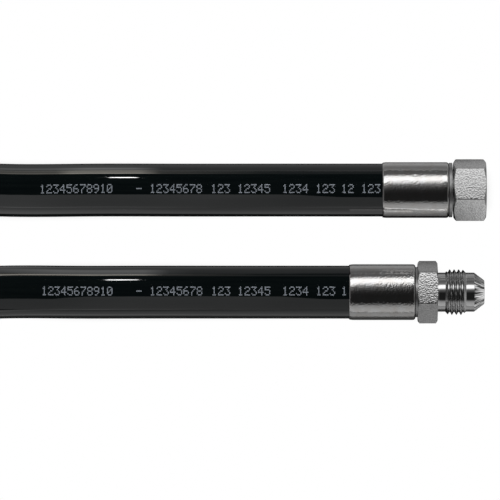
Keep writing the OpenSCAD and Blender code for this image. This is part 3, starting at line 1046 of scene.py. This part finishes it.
floor = mesh_object(
    "floor",
    [(x * FLOOR_REACH, y * FLOOR_REACH, FLOOR_Z) for x, y in ((-1, -1), (1, -1), (1, 1), (-1, 1))],
    [(0, 1, 2, 3)],
    body=None,
)


def kinds_of_ray(tree):
    """1 for camera rays, and 1 for glossy and transmitted ones."""
    path = node(tree, "ShaderNodeLightPath").outputs
    bounced = maths(tree, "MAXIMUM", path["Is Glossy Ray"], path["Is Transmission Ray"])
    return path["Is Camera Ray"], bounced


def openness(tree, distance):
    """1 where nothing stands within a distance in mm, and less where something does."""
    inputs = {"Distance": distance * MM}
    return node(tree, "ShaderNodeAmbientOcclusion", inputs, samples=8).outputs["AO"]


def floor_material():
    """White to the camera, but for a painted shade where the object touches it. Gloss mirrors it
    as it is lit, with the object's shadow on it, a painted shade beside the object, and painted
    light that makes it paler towards -Y."""
    mat = bpy.data.materials.new("white_floor")
    mat.use_nodes = True
    tree = mat.node_tree
    tree.nodes.clear()
    out = node(tree, "ShaderNodeOutputMaterial")
    camera_ray, bounced = kinds_of_ray(tree)
    coords = node(tree, "ShaderNodeTexCoord").outputs["Object"]
    y = node(tree, "ShaderNodeSeparateXYZ", {0: coords}).outputs["Y"]
    # painted light: the tone that gloss sees is paler towards -Y and darker towards +Y
    pale = ramp(tree, y, -30 * MM, 10 * MM, 0.8, 0.38)
    # painted shade: the tone that gloss sees darkens where the object stands near by
    beside = ramp(tree, openness(tree, 16), 0.68, 0.92)
    tone = mixed(tree, bounced, (0.8, 0.8, 0.8, 1), maths(tree, "MULTIPLY", pale, beside))
    matt = node(tree, "ShaderNodeBsdfDiffuse", {"Color": tone})
    # painted shade: the white that the camera sees darkens where the object touches the floor
    shade = ramp(tree, openness(tree, 5), 0.25, 0.8, 0.4, 1.0)
    white = node(tree, "ShaderNodeEmission", {"Color": shade})
    share = maths(tree, "MAXIMUM", camera_ray, maths(tree, "MULTIPLY", bounced, 0.01))
    inputs = {0: share, 1: matt.outputs[0], 2: white.outputs[0]}
    fill(tree, out, {"Surface": node(tree, "ShaderNodeMixShader", inputs).outputs[0]})
    return mat


dress(floor, floor_material())


def curve(tree, value, stops):
    """Level on straight lines between (place, level) stops, whose places go from 0 to 1."""
    made = node(tree, "ShaderNodeValToRGB", {0: value})
    elements = made.color_ramp.elements
    elements[0].position, elements[1].position = stops[0][0], stops[-1][0]
    for place, _ in stops[1:-1]:
        elements.new(place)
    for element, (_, level) in zip(elements, stops):
        element.color = (level, level, level, 1)
    return made.outputs[0]


def shares(stops):
    """Stops with their places turned into shares of the way from the first to the last."""
    first, last = stops[0][0], stops[-1][0]
    return [((place - first) / (last - first), level) for place, level in stops]


# Levels that gloss mirrors: across the fittings by the angle in degrees off the zenith towards
# +Y, and towards both of their ends by the height, from -1 below to 1 at the zenith
SKY_ACROSS = [
    (-180, 0.5), (-91, 0.5), (-88, 0.03), (72, 0.02), (76, 0.2), (90, 0.2), (100, 0.22),
    (180, 0.22),
]
SKY_AT_ENDS = [
    (0, 0.5), (0.5, 0.6), (0.56, 1.1), (0.59, 1), (0.63, 0.5), (0.66, 0.5), (0.73, 0.2),
    (1, 0.25),
]


def studio_world():
    """White to the camera. What gloss mirrors is dark overhead and pale towards the horizon
    and towards both ends of the fittings."""
    world = bpy.data.worlds.new("studio")
    world.use_nodes = True
    bpy.context.scene.world = world
    tree = world.node_tree
    tree.nodes.clear()
    out = node(tree, "ShaderNodeOutputWorld")
    coords = node(tree, "ShaderNodeTexCoord").outputs["Generated"]
    split = node(tree, "ShaderNodeSeparateXYZ", {0: coords}).outputs
    angle = maths(tree, "ARCTAN2", split["Y"], split["Z"])
    across = curve(tree, ramp(tree, angle, -math.pi, math.pi), shares(SKY_ACROSS))
    ends = curve(tree, ramp(tree, split["Z"], -1, 1), SKY_AT_ENDS)
    endwise = ramp(tree, maths(tree, "ABSOLUTE", split["X"], 0), 0.3, 0.6)
    mirrored = mixed(tree, endwise, across, ends)
    camera_ray, bounced = kinds_of_ray(tree)
    dim = mixed(tree, bounced, (AMBIENT, AMBIENT, AMBIENT, 1), mirrored)
    color = mixed(tree, camera_ray, dim, (1, 1, 1, 1))
    back = node(tree, "ShaderNodeBackground", {"Color": color})
    fill(tree, out, {"Surface": back.outputs[0]})


studio_world()

# --- Lamps ---

FAR = 1300.0  # distance of the panels that light whole fittings
AIM = np.array([0.0, 0.0, AXIS_HEIGHT])


def receivers(name, objects):
    group = bpy.data.collections.new(name)
    for o in objects:
        group.objects.link(o)
    return group


fittings = [female_stem, nut, WIRE]
metal = receivers("lit_metal", [female_shell, male_shell, male_body])
on_female = receivers("lit_female_end", [female_shell, *fittings])
on_female_shell = receivers("lit_female_shell", [female_shell])
on_fittings = receivers("lit_nut", fittings)
on_male = receivers("lit_male_end", [male_shell, male_body])
on_male_shell = receivers("lit_male_shell", [male_shell])
on_male_body = receivers("lit_male_body", [male_body])
plastic = receivers("lit_hose", [hose, marks, *straps])
ground = receivers("lit_floor", [floor])
shown_nodes = {o for o in NODES.values() if not o.hide_render}
scene_pieces = {female_shell, male_shell, male_body, *fittings, hose, marks, *straps}
pieces = receivers("lit_pieces", scene_pieces | shown_nodes)


def lamp(name, centre, u, v, u_stops, v_stops, lights, slant=None):
    """A flat panel with edges u and v in mm, shining to the side that u x v points away
    from. Its radiance, where a mirror shows 1 as white, is the product of its levels at
    (share, level) stops along both edges. With a slant of (u0, u1, k0, k1), places along v
    are multiplied by k0 up to u0 and by k1 from u1 on."""
    u, v = Vector(u), Vector(v)
    data = bpy.data.lights.new(name, "AREA")
    data.shape = "RECTANGLE"
    data.size, data.size_y = u.length * MM, v.length * MM
    data.energy = math.pi * data.size * data.size_y
    data.use_nodes = True
    tree = data.node_tree
    emission = next(n for n in tree.nodes if n.type == "EMISSION")
    place = node(tree, "ShaderNodeNewGeometry").outputs["Parametric"]
    split = node(tree, "ShaderNodeSeparateXYZ", {0: place}).outputs
    height = split["Y"]
    if slant:
        height = maths(tree, "MULTIPLY", height, ramp(tree, split["X"], *slant))
    levels = curve(tree, split["X"], u_stops), curve(tree, height, v_stops)
    fill(tree, emission, {"Strength": maths(tree, "MULTIPLY", *levels)})
    made = placed(name, data)
    axes = Matrix((u.normalized(), v.normalized(), u.cross(v).normalized()))
    made.matrix_world = Matrix.Translation(Vector(centre) * MM) @ axes.transposed().to_4x4()
    made.visible_camera = False
    made.light_linking.receiver_collection = lights
    return made


def slant_shares(x_stops, slant):
    """A slant of (x0, x1, k0, k1) with its places in mm turned into shares of the stops."""
    if slant:
        first, last = x_stops[0][0], x_stops[-1][0]
        return [(x - first) / (last - first) for x in slant[:2]] + list(slant[2:])


def panel(name, x_stops, angle_stops, distance, lights, aim=AIM, slant=None):
    """A lamp in the distance. Its height is given by angles off the zenith towards +Y.
    Either both kinds of stops rise, or both fall. A slant is (x0, x1, k0, k1)."""
    middle = math.radians((angle_stops[0][0] + angle_stops[-1][0]) / 2)
    heights = [
        (distance * math.tan(math.radians(angle) - middle), level)
        for angle, level in angle_stops
    ]
    toward = np.array([0, math.sin(middle), math.cos(middle)])
    up = np.array([0, math.cos(middle), -math.sin(middle)])
    x0, x1 = x_stops[0][0], x_stops[-1][0]
    low, high = heights[0][0], heights[-1][0]
    centre = aim + [(x0 + x1) / 2, 0, 0] + distance * toward + up * (low + high) / 2
    return lamp(
        name, centre, (x1 - x0, 0, 0), up * (high - low), shares(x_stops), shares(heights),
        lights, slant_shares(x_stops, slant),
    )


def card(name, y, facing, x_stops, z_stops, lights, slant=None):
    """A small upright lamp beside the hoses, which faces +Y with 1 and -Y with -1. With a
    slant of (x0, x1, k0, k1), which only one that faces +Y can have, heights are divided by
    k0 up to x0 and by k1 from x1 on."""
    x0, x1 = x_stops[0][0], x_stops[-1][0]
    z0, z1 = z_stops[0][0], z_stops[-1][0]
    along = shares(x_stops)
    if facing < 0:
        along = [(1 - place, level) for place, level in along[::-1]]
    return lamp(
        name, ((x0 + x1) / 2, y, (z0 + z1) / 2), (facing * (x1 - x0), 0, 0),
        (0, 0, z1 - z0), along, shares(z_stops), lights, slant_shares(x_stops, slant),
    )


# The main light over the fittings, which makes their bright band

EVEN = [(0, 1), (1, 1)]
WIDE = [(700, 1), (-700, 1)]
KEY_ON_FERRULES = [
    (78, 0), (74, 0.1), (70, 0.22), (67, 0.34), (62.5, 0.95), (59, 2.2), (55, 3.0), (40, 3.0),
    (35, 2.4), (31, 1.3), (27, 0.52), (23, 0.3), (18, 0.25), (14, 0.16), (10, 0.08), (6, 0.04),
    (1.5, 0.02), (-6, 0.01), (-12, 0),
]
KEY_ON_NUT = [
    (75, 0), (66, 0.6), (60, 1.9), (35, 2.1), (30, 1.65), (25, 1.3), (20, 0.95), (12, 0.25),
    (5, 0),
]
KEY_ON_MALE_BODY = [
    (80, 0), (75, 0.15), (57, 0.26), (50, 0.36), (45, 0.7), (41, 2.4), (36, 2.9), (24, 2.8),
    (20, 1.5), (17, 0.8), (13.5, 0.3), (8, 0.16), (3, 0.1), (-2, 0.03), (-5, 0),
]
for name, stops, lights, slant in (
    ("key_on_female_ferrule", KEY_ON_FERRULES, on_female_shell, (47, 14, 1.095, 0.92)),
    ("key_on_male_ferrule", KEY_ON_FERRULES, on_male_shell, (30, -3, 1.12, 0.93)),
    ("key_on_nut", KEY_ON_NUT, on_fittings, None),
    ("key_on_male_body", KEY_ON_MALE_BODY, on_male_body, None),
):
    panel(name, WIDE, stops, FAR, lights, slant=slant)

# Pale surroundings low on the male end's side

panel(
    "low_panel_on_metal", [(-700, 1), (700, 1)],
    [(-91, 0.85), (-79, 0.82), (-73, 0.77), (-68, 0.72), (-58.5, 0.57), (-54, 0.35),
     (-49, 0.08), (-45, 0)],
    FAR, metal,
)
panel(
    "low_panel_on_nut", [(-700, 0.45), (0, 0.5), (700, 0.55)],
    [(-91, 1), (-60, 1), (-45, 0)],
    FAR, on_fittings,
)
panel(
    "low_panel_on_hose", [(-900, 1.5), (-173, 1.5), (-128, 1.15), (-77, 1), (600, 1)],
    [(-81.5, 0.5), (-60, 0.5), (-23, 0.5), (-19.6, 0.5), (-19.1, 0), (-18, 0)],
    FAR, plastic, slant=(-95, -28, 1.0, 1.26),
)

# The hoses' window and glints

window = panel(
    "window_on_hose",
    [(-160, 0.8), (-118, 0.8), (-113, 2.2), (-90, 2.2), (-84, 0.3), (-62, 0.1), (-52, 0)],
    [(74, 0), (75, 2.6), (77.5, 2.3), (78.6, 0.9), (79.4, 1.7), (81, 1.1), (94, 1)],
    120.0, plastic, aim=np.array([0, 16, 10.0]),
)
window.data.color = (1.0, 0.94, 0.84)
GLINT_SPREAD = math.radians(14)  # so narrow that each glint misses the other hose
for name, y, z in (("upper", 20.0, 16.4), ("lower", -12.0, 16.7)):
    glint = panel(
        f"glint_on_{name}_hose",
        [(-100, 0), (-99, 0.8), (-95.2, 1), (-91.4, 0.8), (-90.4, 0)],
        [(53.8, 0), (55, 0.35), (57, 0.35), (58.2, 0)],
        100.0, plastic, aim=np.array([0, y, z]),
    )
    glint.data.spread = GLINT_SPREAD

# What the two ends mirror of each other and of their surroundings near by

card(
    "card_up_hose", 0.0, 1, [(-142, 1.5), (-100, 1.15), (-68, 1), (10, 1)],
    [(5.2, 0), (6.2, 0.45), (8.8, 0.64), (12.2, 0.61), (13.7, 0.56), (17, 0.5), (17.03, 0),
     (18.7, 0)],
    plastic, slant=(-62, -26, 1.0, 0.88),
)
card(
    "card_down_hose", -1.0, -1, [(-131, 1.3), (-112, 1), (-78, 0.85), (-10, 0.8)],
    [(0.0, 0.38), (15.5, 0.35)],
    plastic,
)
card(
    "window_on_lower_hose", -1.0, -1,
    [(-131, 0.7), (-112, 2.7), (-86, 2.7), (-78, 0.4), (-70, 0)],
    [(8, 0), (10.6, 0.4), (15.5, 0.37)],
    plastic,
)
card(
    "card_beside_lower_hose", -34.0, 1, [(-142, 1.7), (-100, 1.3), (-68, 1), (-10, 1)],
    [(0, 0), (4, 0), (5.5, 0.3), (7, 0.25), (8.5, 0.03), (12.5, 0.04), (14.5, 0.08),
     (15.2, 0.38), (17.2, 0.42), (17.25, 0), (18, 0)],
    plastic, slant=(-60, -24, 1.0, 0.975),
)
card(
    "card_up_ferrule", 0.0, 1, [(-13, 1), (11, 1)],
    [(5, 0.12), (6.3, 0.26), (8.8, 0.31), (10.6, 0.36), (12.3, 0.4), (14, 0.48), (16.6, 0.6)],
    on_female_shell,
)
card(
    "card_up_nut", 0.5, 1, [(9, 0.38), (24, 0.64)], [(6, 0.7), (11, 1), (26, 1)],
    on_fittings,
)
lamp(
    "thin_line_on_ferrule", (-0.5, 0.3, 16.9), (23, 0, -2.6), (0.124, 0, 1.1),
    EVEN, [(0, 0.5), (0.5, 1.3), (1, 0.5)],
    on_female_shell,
)
card(
    "card_down_metal", -1.0, -1, [(-24, 1), (24, 1)],
    [(0, 0.34), (4.2, 0.36), (5.4, 0.56), (8.2, 0.58), (10, 0.48), (11.3, 0.38), (12.9, 0.29),
     (14.2, 0.23), (17.2, 0.23)],
    on_male,
)
lamp(
    "strip_beside_hose", (-123, 75, 0.5), (-84, 0, 0), (0, 90, 0),
    [(0, 0), (0.1, 0.6), (0.28, 0.75), (0.42, 0.4), (1, 0.4)],
    [(0, 0), (0.08, 0.05), (0.17, 0.35), (0.26, 0.9), (0.33, 2.0), (0.6, 2.0), (0.75, 0.9),
     (1, 0.9)],
    plastic,
)
lamp(
    "strip_beside_ferrule", (0, 44, 0.5), (-120, 0, 0), (0, 26, 0),
    EVEN, [(0, 0.35), (0.5, 0.2), (1, 0.0)],
    on_female,
)

# Light on matt surfaces, which gloss doesn't mirror

for name, stops, lights in (
    ("key_on_floor", [(50, 47.0), (60, 47.0)], ground),
    ("key_on_matt_surfaces", [(15, 9.0), (55, 9.0)], pieces),
):
    panel(name, [(-300, 1), (300, 1)], stops, FAR, lights).visible_glossy = False
